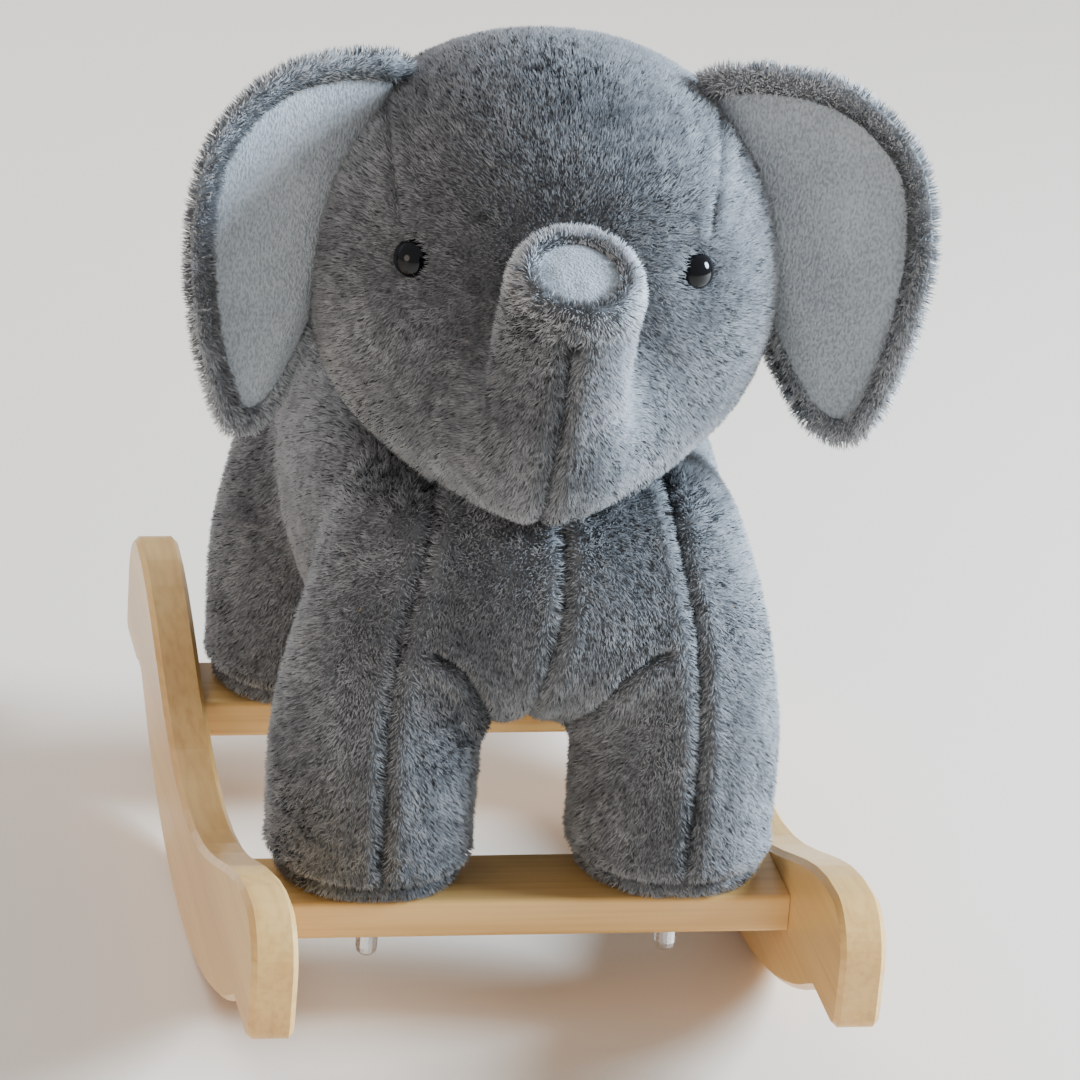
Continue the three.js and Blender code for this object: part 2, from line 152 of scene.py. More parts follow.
def new_material(name, colour, roughness):
    """A principled material with its nodes, its links and its shader."""
    material = bpy.data.materials.new(name)
    material.use_nodes = True
    nodes = material.node_tree.nodes
    shader = nodes["Principled BSDF"]
    shader.inputs["Base Color"].default_value = (*colour, 1)
    shader.inputs["Roughness"].default_value = roughness
    return material, nodes, material.node_tree.links, shader


def add_noise(nodes, links, scale, detail=3.0, stretch=None):
    """A noise texture over the object's own coordinates, stretched along some axes."""
    place = nodes.new("ShaderNodeTexCoord")
    noise = nodes.new("ShaderNodeTexNoise")
    noise.inputs["Scale"].default_value = scale
    noise.inputs["Detail"].default_value = detail
    source = place.outputs["Object"]
    if stretch:
        mapping = nodes.new("ShaderNodeMapping")
        mapping.inputs["Scale"].default_value = stretch
        links.new(source, mapping.inputs["Vector"])
        source = mapping.outputs["Vector"]
    links.new(source, noise.inputs["Vector"])
    return noise.outputs["Fac"]


def add_ramp(nodes, links, source, stops):
    """Colours along a source's values, each stop a place and its colour."""
    ramp = nodes.new("ShaderNodeValToRGB")
    elements = ramp.color_ramp.elements
    elements[0].position, elements[0].color = stops[0][0], (*stops[0][1], 1)
    elements[1].position, elements[1].color = stops[-1][0], (*stops[-1][1], 1)
    for place, colour in stops[1:-1]:
        elements.new(place).color = (*colour, 1)
    links.new(source, ramp.inputs["Fac"])
    return ramp.outputs["Color"]


def add_mix(nodes, links, share, first, second):
    """Two colours mixed, with that share of the second."""
    mix = nodes.new("ShaderNodeMix")
    mix.data_type = "RGBA"
    mix.inputs["Factor"].default_value = share
    links.new(first, mix.inputs["A"])
    links.new(second, mix.inputs["B"])
    return mix.outputs["Result"]


def add_bump(nodes, links, shader, source, strength, distance):
    """Fine relief on a shader's surface, from a source's values."""
    bump = nodes.new("ShaderNodeBump")
    bump.inputs["Strength"].default_value = strength
    bump.inputs["Distance"].default_value = distance
    links.new(source, bump.inputs["Height"])
    links.new(bump.outputs["Normal"], shader.inputs["Normal"])


def add_range(nodes, links, source, socket, low, high):
    """Drives a socket from low to high by a source's values."""
    spread = nodes.new("ShaderNodeMapRange")
    spread.inputs["To Min"].default_value = low
    spread.inputs["To Max"].default_value = high
    links.new(source, spread.inputs["Value"])
    links.new(spread.outputs["Result"], socket)


def maple(name, along):
    """Clear-lacquered maple. Its grain runs along one axis, 0 for X and 1 for Y."""
    material, nodes, links, shader = new_material(name, (0.76, 0.48, 0.22), 0.34)
    fine = [260, 260, 260]
    fine[along] = 5
    broad = [22, 22, 22]
    broad[along] = 1.6
    grain = add_noise(nodes, links, 1.0, 4.0, fine)
    figure = add_noise(nodes, links, 1.0, 3.0, broad)
    pale = add_ramp(nodes, links, figure, [
        (0.30, (0.58, 0.30, 0.085)), (0.5, (0.72, 0.41, 0.13)), (0.72, (0.80, 0.50, 0.18))])
    streak = add_ramp(nodes, links, grain, [
        (0.34, (0.50, 0.24, 0.065)), (0.58, (0.80, 0.50, 0.18))])
    colour = add_mix(nodes, links, 0.28, pale, streak)
    links.new(colour, shader.inputs["Base Color"])
    add_range(nodes, links, grain, shader.inputs["Roughness"], 0.27, 0.42)
    shader.inputs["Coat Weight"].default_value = 0.15
    shader.inputs["Coat Roughness"].default_value = 0.25
    add_bump(nodes, links, shader, grain, 0.12, 0.3 * MM)
    return material


def bare_wood():
    """Sanded timber without a finish, its grain upright."""
    material, nodes, links, shader = new_material("bare_wood", (0.55, 0.40, 0.23), 0.8)
    grain = add_noise(nodes, links, 1.0, 4.0, (180, 180, 9))
    colour = add_ramp(nodes, links, grain, [(0.35, (0.46, 0.31, 0.17)), (0.65, (0.63, 0.47, 0.29))])
    links.new(colour, shader.inputs["Base Color"])
    add_bump(nodes, links, shader, grain, 0.3, 0.3 * MM)
    return material


def bright_zinc():
    """Zinc plate with fine scuffs."""
    material, nodes, links, shader = new_material("bright_zinc", (0.66, 0.67, 0.69), 0.25)
    shader.inputs["Metallic"].default_value = 1.0
    scuffs = add_noise(nodes, links, 900, 3.0)
    add_range(nodes, links, scuffs, shader.inputs["Roughness"], 0.14, 0.36)
    return material


def black_gloss():
    """The polished plastic of the eyes."""
    material, nodes, links, shader = new_material("black_gloss", (0.003, 0.003, 0.004), 0.06)
    shader.inputs["Specular IOR Level"].default_value = 0.3
    haze = add_noise(nodes, links, 500, 2.0)
    add_range(nodes, links, haze, shader.inputs["Roughness"], 0.05, 0.12)
    return material


def washer_plastic():
    """The pale plastic of the washers behind the eyes."""
    material, nodes, links, shader = new_material("washer_plastic", (0.75, 0.75, 0.72), 0.5)
    add_bump(nodes, links, shader, add_noise(nodes, links, 1500, 2.0), 0.2, 0.1 * MM)
    return material


def backing_cloth(name, dark, pale):
    """The knitted backing that the pile grows from, seen only where the pile parts."""
    material, nodes, links, shader = new_material(name, dark, 1.0)
    mottle = add_noise(nodes, links, 60, 5.0)
    colour = add_ramp(nodes, links, mottle, [(0.35, dark), (0.7, pale)])
    links.new(colour, shader.inputs["Base Color"])
    add_bump(nodes, links, shader, add_noise(nodes, links, 700, 2.0), 0.6, 0.6 * MM)
    return material


def velour():
    """Short smooth nap with a fine upright grain, and a painted sheen: lighter and darker areas of colour
    stand in for the light off nap laid one way and the other.
    """
    material, nodes, links, shader = new_material("velour", (0.42, 0.45, 0.48), 0.95)
    # Painted sheen: this noise sets where the nap's colour is painted lighter or darker, as if light
    # caught nap laid one way or the other.
    brushed_sheen = add_noise(nodes, links, 24, 3.0)
    nap = add_noise(nodes, links, 1.0, 3.0, (760, 760, 420))
    sheen_patches = add_ramp(nodes, links, brushed_sheen, [
        (0.36, (0.31, 0.335, 0.36)), (0.66, (0.44, 0.47, 0.50))])
    grains = add_ramp(nodes, links, nap, [(0.36, (0.22, 0.24, 0.26)), (0.60, (0.54, 0.57, 0.60))])
    links.new(add_mix(nodes, links, 0.5, sheen_patches, grains), shader.inputs["Base Color"])
    shader.inputs["Sheen Weight"].default_value = 0.3
    shader.inputs["Sheen Roughness"].default_value = 0.45
    add_bump(nodes, links, shader, nap, 0.9, 1.4 * MM)
    return material


PILE_TONES = 11
BODY_TONES = 8                 # the paler tones past these are painted light, on the ears' rims and round the trunk's tip
DARKEST = {"low": np.array([0.080, 0.083, 0.090]), "tip": np.array([0.115, 0.119, 0.127])}
FROSTED = {"low": np.array([0.31, 0.315, 0.325]), "tip": np.array([0.46, 0.465, 0.475])}


def pile_materials():
    """Tones of the pile from dark to frosted: for each, the lower part of a hair and its tip."""
    made = []
    for tone in range(PILE_TONES):
        share = tone / (BODY_TONES - 1)
        for part in ("low", "tip"):
            colour = (1 - share) * DARKEST[part] + share * FROSTED[part]
            material, _, _, shader = new_material(f"pile_{part}_{tone}", tuple(colour), 0.9)
            shader.inputs["Sheen Weight"].default_value = 0.15
            shader.inputs["Sheen Roughness"].default_value = 0.5
            shader.inputs["Specular IOR Level"].default_value = 0.25
            made.append(material)
    return made


# ---- Meshes as arrays ----

def coordinates(mesh):
    """The mesh's points, one in each row."""
    flat = np.empty(len(mesh.vertices) * 3)
    mesh.vertices.foreach_get("co", flat)
    return flat.reshape(-1, 3)


def put_coordinates(mesh, points):
    """Moves the mesh's points to these places."""
    mesh.vertices.foreach_set("co", np.asarray(points, np.float32).ravel())
    mesh.update()


def edge_ends(mesh):
    """The two points of each edge, by their numbers."""
    flat = np.empty(len(mesh.edges) * 2, np.int64)
    mesh.edges.foreach_get("vertices", flat)
    return flat.reshape(-1, 2)


def vertex_normals(mesh):
    """Which way the surface faces at each point."""
    flat = np.empty(len(mesh.vertices) * 3, np.float32)
    mesh.vertex_normals.foreach_get("vector", flat)
    return flat.reshape(-1, 3).astype(float)


def neighbour_mean(points, edges):
    """The mean of the neighbours of each point."""
    total = np.zeros_like(points)
    count = np.bincount(edges.ravel(), minlength=len(points))
    for axis in range(points.shape[1]):
        total[:, axis] = np.bincount(edges[:, 0], points[edges[:, 1], axis], len(points))
        total[:, axis] += np.bincount(edges[:, 1], points[edges[:, 0], axis], len(points))
    return total / np.maximum(count, 1)[:, None]


def link_mesh(name, mesh):
    """A new piece in the scene with this mesh."""
    piece = bpy.data.objects.new(name, mesh)
    bpy.context.scene.collection.objects.link(piece)
    return piece


def apply_modifiers(piece):
    """Puts what the piece's modifiers make into its mesh."""
    graph = bpy.context.evaluated_depsgraph_get()
    made = bpy.data.meshes.new_from_object(piece.evaluated_get(graph), depsgraph=graph)
    old = piece.data
    piece.modifiers.clear()
    piece.data = made
    bpy.data.meshes.remove(old)


def remesh(piece, voxel):
    """Makes overlapping closed shapes one even skin."""
    modifier = piece.modifiers.new("remesh", "REMESH")
    modifier.mode = "VOXEL"
    modifier.voxel_size = voxel
    apply_modifiers(piece)


def subdivide(piece):
    """Makes a piece's mesh twice as fine and smooth."""
    modifier = piece.modifiers.new("subdivision", "SUBSURF")
    modifier.levels = modifier.render_levels = 1
    apply_modifiers(piece)
    piece.data.shade_smooth()


# ---- Shapes as distances: negative inside, in metres ----

def superellipsoid(points, centre, half, exponent):
    """The distance to an ellipsoid that is squarer the higher its exponent, which is 2 for round."""
    scaled = np.abs((points - centre) / half)
    share = (scaled ** exponent).sum(1) ** (1 / exponent)
    reach = np.linalg.norm(points - centre, axis=1)
    return reach * (1 - 1 / np.maximum(share, 1e-6))


def rounded_corner(across, along, radius):
    """The distance to a corner of that radius, from how far a point is past its two sides."""
    past = np.hypot(np.maximum(across + radius, 0), np.maximum(along + radius, 0))
    return past + np.minimum(np.maximum(across, along) + radius, 0) - radius


def ease(share):
    """A share that starts and ends gently."""
    share = np.clip(share, 0, 1)
    return share * share * (3 - 2 * share)


def smooth_union(first, second, blend):
    """The distance to two shapes that run into each other over a blend."""
    share = np.clip(0.5 + 0.5 * (second - first) / blend, 0, 1)
    return second * (1 - share) + first * share - blend * share * (1 - share)


def middle_of(node):
    """The middle of a CAD node's box."""
    low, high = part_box(node)
    return np.array((low + high) / 2)


def half_of(node):
    """Half the size of a CAD node's box."""
    low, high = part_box(node)
    return np.array((high - low) / 2)


SIDES = {"left": -1, "right": 1}
CORNERS = [(row, hand) for row in ("front", "rear") for hand in ("left", "right")]
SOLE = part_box("body_plush")[0].z
HEAD_CENTRE = middle_of("head_plush")
HEAD_HALF = half_of("head_plush")
TORSO_CENTRE = np.array([0, middle_of("body_plush")[1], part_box("body_plush")[1].z - TORSO_HALF[2]])


def foot_place(row, hand):
    """Where a leg stands: a little behind the post inside it."""
    x, y, _ = middle_of(f"leg_post_{row}_{hand}")
    return x, y + FOOT_BEHIND_POST[row]


def leg_distance(points, row, hand):
    """To a leg: a round column, a little fuller in the middle of its lower part, which narrows
    and leans in towards the body above its taper's start."""
    x, y = foot_place(row, hand)
    height = points[:, 2] - SOLE
    above = np.maximum(0, height - LEG_TAPER_START) ** 2
    fuller = 1 + 0.035 * np.sin(np.clip(height / LEG_FULL_HEIGHT, 0, 1) * math.pi)
    radius = (LEG_RADIUS - PILE) * fuller - above
    x = x - math.copysign(LEG_LEAN, x) * above
    across = np.hypot(points[:, 0] - x, points[:, 1] - y) - radius
    return rounded_corner(across, -height + 1 * MM, SOLE_ROUND - 4 * MM)


# Turns points of the head's own frame as the head is turned on the body.
TURN = np.array([[math.cos(HEAD_TURN), -math.sin(HEAD_TURN), 0],
                 [math.sin(HEAD_TURN), math.cos(HEAD_TURN), 0], [0, 0, 1]])


def in_head(points):
    """Points of the whole toy as the head's own frame has them."""
    return (points - HEAD_CENTRE) @ TURN


def from_head(points):
    """Points of the head's own frame as the whole toy has them."""
    return np.asarray(points) @ TURN.T + HEAD_CENTRE


def spline_points(controls, steps):
    """A Catmull-Rom spline through all but the first and the last of the control points."""
    made = []
    for i in range(len(controls) - 3):
        a, b, c, d = controls[i:i + 4]
        for t in np.arange(steps) / steps:
            made.append(0.5 * (2 * b + (c - a) * t + (2 * a - 5 * b + 4 * c - d) * t * t
                               + (3 * b - a - 3 * c + d) * t ** 3))
    return made


def curve_points(controls, steps):
    """A smooth open curve through the control points."""
    padded = np.vstack([2 * controls[0] - controls[1], controls, 2 * controls[-1] - controls[-2]])
    return np.array(spline_points(padded, steps) + [controls[-1]])


def closed_curve_points(controls, steps):
    """A smooth closed curve through the control points."""
    return np.array(spline_points(np.vstack([controls[-1:], controls, controls[:2]]), steps))


TRUNK_LINE = curve_points(TRUNK_POINTS, 12)


def trunk_radius(share):
    """The trunk's radius at a share of its length: it narrows over its first half."""
    narrowed = np.minimum(1, 1.9 * share) ** 0.8
    return TRUNK_ROOT_RADIUS + (TRUNK_TIP_RADIUS - TRUNK_ROOT_RADIUS) * narrowed - PILE


def trunk_distance(points):
    """To the trunk: a tapering tube along its line, with a rounded rim at the tip."""
    away = np.linalg.norm(points[:, None] - TRUNK_LINE[None], axis=2)
    nearest = away.argmin(1)
    across = away.min(1)
    tip = TRUNK_LINE[-1]
    axis = TRUNK_LINE[-1] - TRUNK_LINE[-2]
    axis = axis / np.linalg.norm(axis)
    along = (points - tip) @ axis
    beyond = np.linalg.norm(points - tip - along[:, None] * axis, axis=1)
    near_tip = nearest > len(TRUNK_LINE) * 0.7
    across = np.where(near_tip, beyond, across) - trunk_radius(nearest / (len(TRUNK_LINE) - 1))
    along = np.where(near_tip, along + 2 * MM, -1.0)
    return rounded_corner(across, along, TRUNK_TIP_ROUND)


def skull_distance(points, grow=0.0):
    """To the skull, in the head's own frame, made that much larger all round."""
    return superellipsoid(points, np.zeros(3), HEAD_HALF - PILE + grow, HEAD_EXPONENT)


def head_distance(points):
    """To the skull and the trunk together, in the toy's frame."""
    local = in_head(points)
    return smooth_union(skull_distance(local), trunk_distance(local), HEAD_TRUNK_BLEND)


def body_distance(points):
    """To the torso and the legs together, with the hollow that the head is sewn into."""
    distance = superellipsoid(points, TORSO_CENTRE, TORSO_HALF - PILE, TORSO_EXPONENT)
    for row, hand in CORNERS:
        distance = smooth_union(distance, leg_distance(points, row, hand), BODY_LEG_BLEND)
    socket = skull_distance(in_head(points), PILE + 1 * MM)
    return np.maximum(distance, -socket)


def settle(piece, distance, rounds=10):
    """Moves a rough mesh on to the surface where a distance is nought, keeping it even."""
    mesh = piece.data
    points = coordinates(mesh)
    edges = edge_ends(mesh)
    reach = 0.5 * MM
    steps = np.eye(3) * reach
    for _ in range(rounds):
        points = points + 0.5 * (neighbour_mean(points, edges) - points)
        for _ in range(2):
            slope = np.stack([(distance(points + step) - distance(points - step)) / (2 * reach)
                              for step in steps], axis=1)
            size = np.maximum((slope ** 2).sum(1), 0.2)
            move = np.clip(distance(points) / size, -4 * MM, 4 * MM)
            points = points - slope * move[:, None]
    put_coordinates(mesh, points)


def rough_shape(name, balls):
    """One mesh of overlapping balls and rods, each as its centre and its three half sizes."""
    mesh = bpy.data.meshes.new(name)
    shape = bmesh.new()
    for centre, half in balls:
        matrix = Matrix.Translation(Vector(centre)) @ Matrix.Diagonal((*half, 1))
        bmesh.ops.create_uvsphere(shape, u_segments=24, v_segments=14, radius=1, matrix=matrix)
    shape.to_mesh(mesh)
    shape.free()
    return link_mesh(name, mesh)


def inflate(piece, held, cap):
    """Cloth that its stuffing presses out, held fast where a share is 1. No point moves further
    than the cap."""
    mesh = piece.data
    start = coordinates(mesh)
    group = piece.vertex_groups.new(name="held")
    for weight in (0.5, 1.0):
        found = np.nonzero(held >= weight)[0]
        group.add([int(i) for i in found], weight, "REPLACE")
    modifier = piece.modifiers.new("cloth", "CLOTH")
    settings = modifier.settings
    settings.quality = 5
    settings.mass = 0.3
    settings.tension_stiffness = settings.compression_stiffness = 12
    settings.shear_stiffness = 8
    settings.bending_stiffness = 2
    settings.use_pressure = True
    settings.uniform_pressure_force = COVER_PRESSURE
    settings.vertex_group_mass = "held"
    settings.effector_weights.gravity = 0
    modifier.point_cache.frame_start = 1
    modifier.point_cache.frame_end = CLOTH_STEPS
    for number in range(1, CLOTH_STEPS + 1):
        bpy.context.scene.frame_set(number)
    apply_modifiers(piece)
    bpy.context.scene.frame_set(1)
    moved = coordinates(piece.data) - start
    far = np.linalg.norm(moved, axis=1)
    share = np.minimum(1, cap / np.maximum(far, 1e-9))
    put_coordinates(piece.data, start + moved * share[:, None])


# ---- Seams and dents ----

def polyline_distance(points, line):
    """How far points of a plane are from a line of several stretches."""
    best = np.full(len(points), 1.0)
    for a, b in zip(line[:-1], line[1:]):
        along = np.clip(((points - a) @ (b - a)) / ((b - a) @ (b - a)), 0, 1)
        best = np.minimum(best, np.linalg.norm(points - a - along[:, None] * (b - a), axis=1))
    return best


def seam_distance(points, normals, facing, line):
    """The distance to a seam drawn on the side that faces one way: -Y, +X, -X, +Z or -Z."""
    axis, sign = facing
    plane = [i for i in range(3) if i != axis]
    away = polyline_distance(points[:, plane], curve_points(np.array(line) * MM, 8))
    return np.where(normals[:, axis] * sign > 0.1, away, 1.0)


def press_seams(piece, distance, depth, width):
    """Draws the cover in along its seams, raises their lips, and keeps how close each vertex is."""
    mesh = piece.data
    points = coordinates(mesh)
    close = np.exp(-(distance / width) ** 2)
    lip = np.exp(-((distance - 2.2 * width) / width) ** 2)
    uneven = 1 + 0.5 * smooth_noise(points, 14 * MM, 91)[:, 0]
    move = (0.22 * lip - close) * depth * uneven
    put_coordinates(mesh, points + vertex_normals(mesh) * move[:, None])
    attribute = mesh.attributes.new("seam", "FLOAT", "POINT")
    attribute.data.foreach_set("value", np.exp(-(distance / (0.6 * width)) ** 2).astype(np.float32))


def smooth_noise(points, cell, seed, channels=1):
    """Even random values about nought that change smoothly over a distance of one cell."""
    side = 32
    table = np.random.default_rng(seed).uniform(-1, 1, (side, side, side, channels))
    place = points / cell + 1000
    corner = np.floor(place).astype(int)
    t = place - corner
    t = t * t * (3 - 2 * t)
    total = np.zeros((len(points), channels))
    for dx in (0, 1):
        for dy in (0, 1):
            for dz in (0, 1):
                share = (np.where(dx, t[:, 0], 1 - t[:, 0]) * np.where(dy, t[:, 1], 1 - t[:, 1])
                         * np.where(dz, t[:, 2], 1 - t[:, 2]))
                at = (corner + (dx, dy, dz)) % side
                total += share[:, None] * table[at[:, 0], at[:, 1], at[:, 2]]
    return total


# ---- Pile ----

def unit(vectors):
    """The same directions, each of length one."""
    return vectors / np.maximum(np.linalg.norm(vectors, axis=-1, keepdims=True), 1e-9)


def scatter(piece, spacing, seed, keep=None):
    """Even random places on a cover: points, normals and how close each is to a seam."""
    mesh = piece.data
    mesh.calc_loop_triangles()
    triangles = np.empty(len(mesh.loop_triangles) * 3, np.int64)
    mesh.loop_triangles.foreach_get("vertices", triangles)
    triangles = triangles.reshape(-1, 3)
    points = coordinates(mesh)
    normals = vertex_normals(mesh)
    seam = np.zeros(len(points), np.float32)
    if "seam" in mesh.attributes:
        mesh.attributes["seam"].data.foreach_get("value", seam)
    a, b, c = (points[triangles[:, i]] for i in range(3))
    area = np.linalg.norm(np.cross(b - a, c - a), axis=1) / 2
    random = np.random.default_rng(seed)
    count = int(area.sum() / spacing ** 2)
    chosen = random.choice(len(area), count, p=area / area.sum())
    u, v = random.random((2, count))
    over = u + v > 1
    u, v = np.where(over, 1 - u, u), np.where(over, 1 - v, v)
    weights = np.stack([1 - u - v, u, v], axis=1)
    corners = triangles[chosen]
    place = (points[corners] * weights[:, :, None]).sum(1)
    normal = unit((normals[corners] * weights[:, :, None]).sum(1))
    closeness = (seam[corners] * weights).sum(1)
    if keep is not None:
        found = keep(place, normal)
        place, normal, closeness = place[found], normal[found], closeness[found]
    return place, normal, closeness, random


def hair_mesh(name, points, shade, tone, materials):
    """Hairs of five points each: a four-sided lower part and a three-sided tip."""
    each = np.arange(len(points))[:, None]
    corners = each * 5 + [0, 1, 2, 3, 3, 2, 4]
    starts = each * 7 + [0, 4]
    looks = tone[:, None] * 2 + [0, 1]
    mesh = bpy.data.meshes.new(name)
    mesh.vertices.add(len(points) * 5)
    mesh.vertices.foreach_set("co", points.astype(np.float32).ravel())
    mesh.loops.add(corners.size)
    mesh.loops.foreach_set("vertex_index", corners.ravel().astype(np.int32))
    mesh.polygons.add(starts.size)
    mesh.polygons.foreach_set("loop_start", starts.ravel().astype(np.int32))
    mesh.polygons.foreach_set("material_index", looks.ravel().astype(np.int32))
    for material in materials:
        mesh.materials.append(material)
    mesh.update(calc_edges=True)
    mesh.shade_smooth()
    normal = mesh.attributes.new("custom_normal", "FLOAT_VECTOR", "POINT")
    normal.data.foreach_set("vector", np.repeat(shade, 5, axis=0).astype(np.float32).ravel())
    return link_mesh(name, mesh)


def no_change(place):
    """Nought for each place."""
    return np.zeros(len(place))


def grow_pile(name, piece, attach, flow, materials, seed, spacing=HAIR_SPACING, length=HAIR_LENGTH,
              lean=24, keep=None, floor=None, painted_light=no_change):
    """Short hairs over a cover, combed one way with swirls, in small tufts, as several pieces."""
    place, normal, seam, random = scatter(piece, spacing, seed, keep)
    count = len(place)
    swirl = smooth_noise(place, 45 * MM, seed + 1, 3)
    tuft = smooth_noise(place, 3.4 * MM, seed + 2, 3)
    combed = 0.8 * flow(place) + 0.7 * swirl + 0.6 * tuft + 0.3 * random.normal(size=(count, 3))
    combed = unit(combed - (combed * normal).sum(1)[:, None] * normal)
    tilt = np.radians(lean + 10 * swirl[:, 0] + 12 * tuft[:, 1] + random.uniform(-8, 8, count))
    size = length * random.uniform(0.8, 1.1, count) * (1 - 0.45 * seam)
    size = size * (1 + 0.14 * tuft[:, 2])

    def leaning(share):
        """The way a hair goes when it leans by that share of its tilt."""
        angle = (tilt * share)[:, None]
        return normal * np.cos(angle) + combed * np.sin(angle)

    middle = place + leaning(0.7) * (0.55 * size)[:, None]
    tip = middle + leaning(1.5) * (0.5 * size)[:, None]
    across = unit(np.cross(combed, normal) + 0.5 * random.normal(size=(count, 3)))
    half = 0.5 * HAIR_WIDTH * random.uniform(0.75, 1.25, count)[:, None] * across
    root = place - HAIR_ROOT * normal
    points = np.stack([root - half, root + half, middle + 0.9 * half, middle - 0.9 * half, tip], axis=1)
    if floor is not None:
        points[:, :, 2] = np.maximum(points[:, :, 2], floor)
    flat = unit(np.cross(points[:, 1] - points[:, 0], points[:, 4] - points[:, 0]))
    shade = unit(0.35 * flat + 0.8 * normal)
    # Painted light lifts some hairs' tone towards the palest, and hair by a seam is painted darker, a
    # painted shade in the seam's crease.
    tone = (0.42 + 0.2 * smooth_noise(place, 40 * MM, seed + 5)[:, 0]
            + 0.16 * smooth_noise(place, 9 * MM, seed + 6)[:, 0] + 0.16 * tuft[:, 2]
            + random.uniform(-0.06, 0.06, count) + painted_light(place) - 0.6 * seam)
    tone = np.clip((tone * BODY_TONES).astype(int), 0, PILE_TONES - 1)
    order = np.argsort(place[:, 1], kind="stable")
    parts = max(1, math.ceil(count / HAIRS_PER_PIECE))
    for number, some in enumerate(np.array_split(order, parts), 1):
        label = name if parts == 1 else f"{name}_{number}"
        made = hair_mesh(label, points[some], shade[some], tone[some], materials)
        attach(made)


def riding_on(body):
    """Attaches a whole piece to one body."""
    return lambda piece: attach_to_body(piece, body)


# ---- Covers ----

def downward(place):
    """The body's pile lies down and towards the tail."""
    return np.tile([0.0, 0.35, -1.0], (len(place), 1))


def make_body(material, pile):
    """The cover of the body and the legs, stuffed, with its seams and its pile."""
    balls = [(TORSO_CENTRE, TORSO_HALF * 0.97)]
    for row, hand in CORNERS:
        x, y = foot_place(row, hand)
        for height in np.arange(45, 150, 20) * MM:
            balls.append(((x, y, SOLE + height), (LEG_RADIUS, LEG_RADIUS, 45 * MM)))
    cover = rough_shape("body_cover", balls)
    remesh(cover, COVER_VOXEL)
    settle(cover, body_distance)
    points, normals = coordinates(cover.data), vertex_normals(cover.data)
    seams = body_seams(points, normals)
    in_socket = skull_distance(in_head(points), PILE + 3 * MM) < 0
    held = np.where((seams < 5 * MM) | in_socket | (points[:, 2] < SOLE + 16 * MM), 1.0, 0.0)
    inflate(cover, held, 3.5 * MM)
    subdivide(cover)
    points, normals = coordinates(cover.data), vertex_normals(cover.data)
    press_seams(cover, body_seams(points, normals), 6 * MM, 3.6 * MM)
    cover.data.materials.append(material)
    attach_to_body(cover, "frame")
    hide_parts("body_plush")
    grow_pile("body_pile", cover, riding_on("frame"), downward, pile, 11, floor=SOLE + 0.5 * MM,
              keep=lambda place, normal: (skull_distance(in_head(place), -1 * MM) > 0)
              & (place[:, 2] > SOLE + 2 * MM))


def body_seams(points, normals):
    """The chest seam, one down each leg, the creases inside the front legs, the back seam and
    the soles' edges."""
    front, back, top = (1, -1), (1, 1), (2, 1)
    sole = SOLE / MM
    chest = sole + 70
    leg = foot_place("front", "right")[0] / MM
    lines = [(front, [(0, chest), (-3, chest + 60), (4, chest + 110), (2, chest + 170)]),
             (top, [(0, 60), (0, 140), (0, 215)]),
             (back, [(0, 140), (0, 240), (0, 330)])]
    for side in (-1, 1):
        x = side * leg
        lines += [
            (front, [(x, sole + 10), (x + side * 2, sole + 90), (x - side * 2, sole + 150),
                     (x - side * 14, sole + 200), (x - side * 22, sole + 240)]),
            (front, [(x - side * 20, sole + 150), (x - side * 38, sole + 138),
                     (x - side * 52, sole + 112), (x - side * 62, sole + 92)]),
            (back, [(x, sole + 10), (x, sole + 120), (x - side * 14, sole + 210)])]
    away = np.min([seam_distance(points, normals, *line) for line in lines], axis=0)
    near_sole = np.abs(points[:, 2] - SOLE - 10 * MM)
    outside = np.full(len(points), 1.0)
    for row, hand in CORNERS:
        x, y = foot_place(row, hand)
        from_leg = np.hypot(points[:, 0] - x, points[:, 1] - y) - LEG_RADIUS + PILE
        outside = np.minimum(outside, np.abs(from_leg))
    return np.minimum(away, np.hypot(near_sole, np.maximum(outside - 6 * MM, 0)))


def eye_line(side):
    """From the head's middle towards the eye: the way its dome faces, and how far the top is."""
    points = coordinates(frame["nodes"][f"eye_{side}"].data) - HEAD_CENTRE
    far = np.linalg.norm(points, axis=1)
    top = points[far.argmax()]
    return unit(top), far.max()


def from_eye(points, side):
    """How far points are from the line through the head's middle and an eye."""
    way, _ = eye_line(side)
    local = points - HEAD_CENTRE
    along = local @ way
    away = np.linalg.norm(local - along[:, None] * way, axis=1)
    return np.where(along > 0, away, 1.0)


def head_seams(points, normals):
    """The seam down the face and under the trunk, and a shallow dart over each eye."""
    local = in_head(points)
    turned = normals @ TURN
    front = (1, -1)
    away = seam_distance(local, turned, front, [(4, 30), (2, -20), (0, -70), (-1, -112)])
    for side in (-1, 1):
        dart = seam_distance(local, turned, front, [(side * 88, 96), (side * 84, 72), (side * 80, 50)])
        away = np.minimum(away, dart + 2.5 * MM)
    return away


def from_tip(points):
    """How far points of the toy are from the trunk tip's axis, and how far along it, past the tip."""
    local = in_head(points) - TRUNK_LINE[-1]
    axis = unit(TRUNK_LINE[-1] - TRUNK_LINE[-2])
    along = local @ axis
    return np.linalg.norm(local - along[:, None] * axis, axis=1), along


def nearest_eye(points):
    """How far points are from the nearer eye's axis."""
    return np.minimum(from_eye(points, "left"), from_eye(points, "right"))


